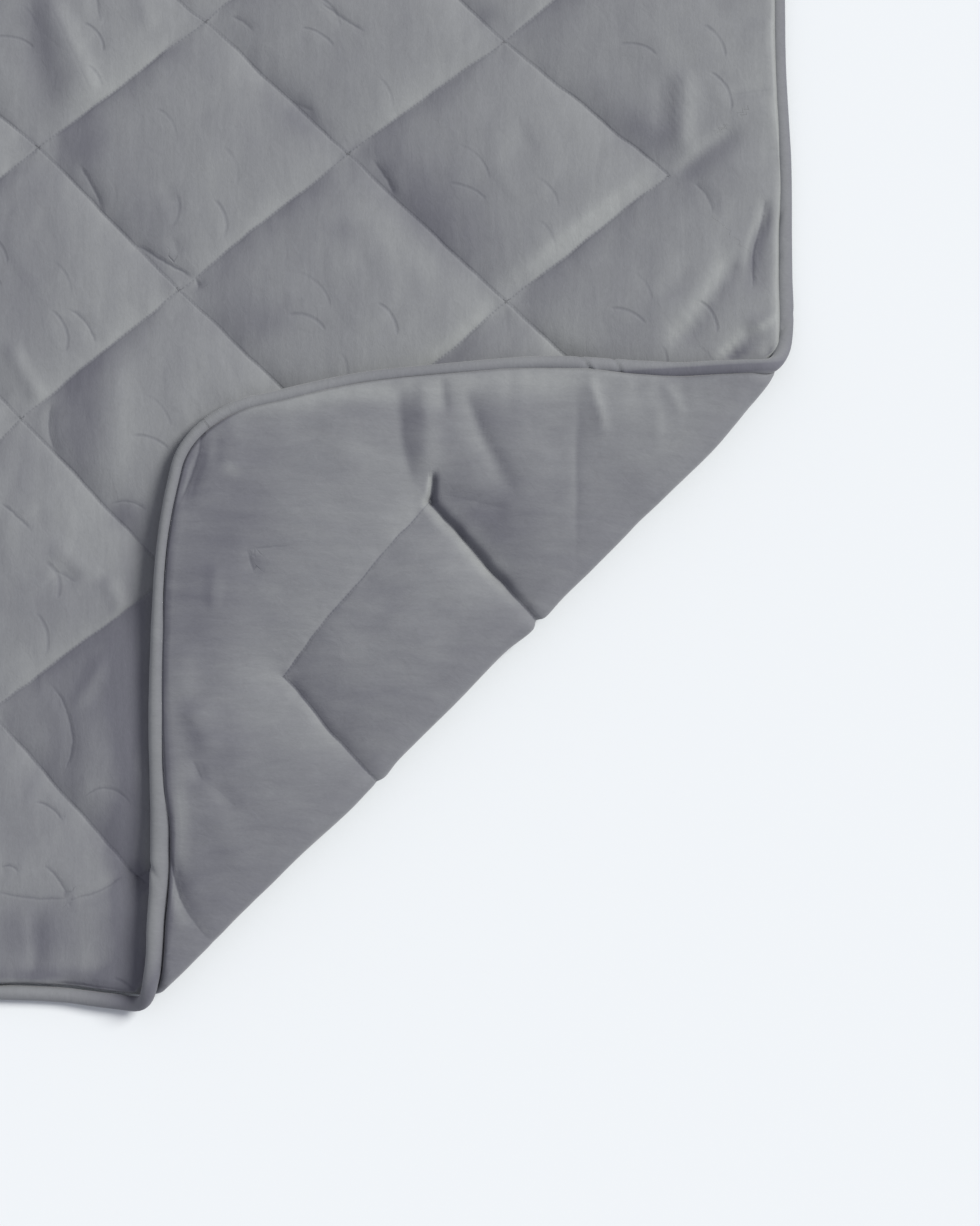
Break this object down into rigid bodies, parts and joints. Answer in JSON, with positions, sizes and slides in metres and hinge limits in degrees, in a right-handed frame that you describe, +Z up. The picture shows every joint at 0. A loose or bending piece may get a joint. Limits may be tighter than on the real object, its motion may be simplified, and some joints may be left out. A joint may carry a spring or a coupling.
{
  "type": "quilted plush duvet",
  "caption": "Plush duvet quilted in diamonds, with a piped edge, lying flat with a corner turned back over its face.",
  "frame": {"origin": "middle of the underside, on the surface that the duvet lies on", "axes": "+X across the duvet, towards the side with the turned corner; +Y along it, towards the end away from that corner; +Z up"},
  "size_m": [1.4001, 2, 0.031],
  "materials": {
    "plush": "short soft pile with nap marks, sewn in diamonds",
    "piping_plush": "the same pile drawn tight over a cord"
  },
  "bodies": {
    "root": {"duvet": "plush", "piping": "piping_plush"}
  },
  "joints": []
}
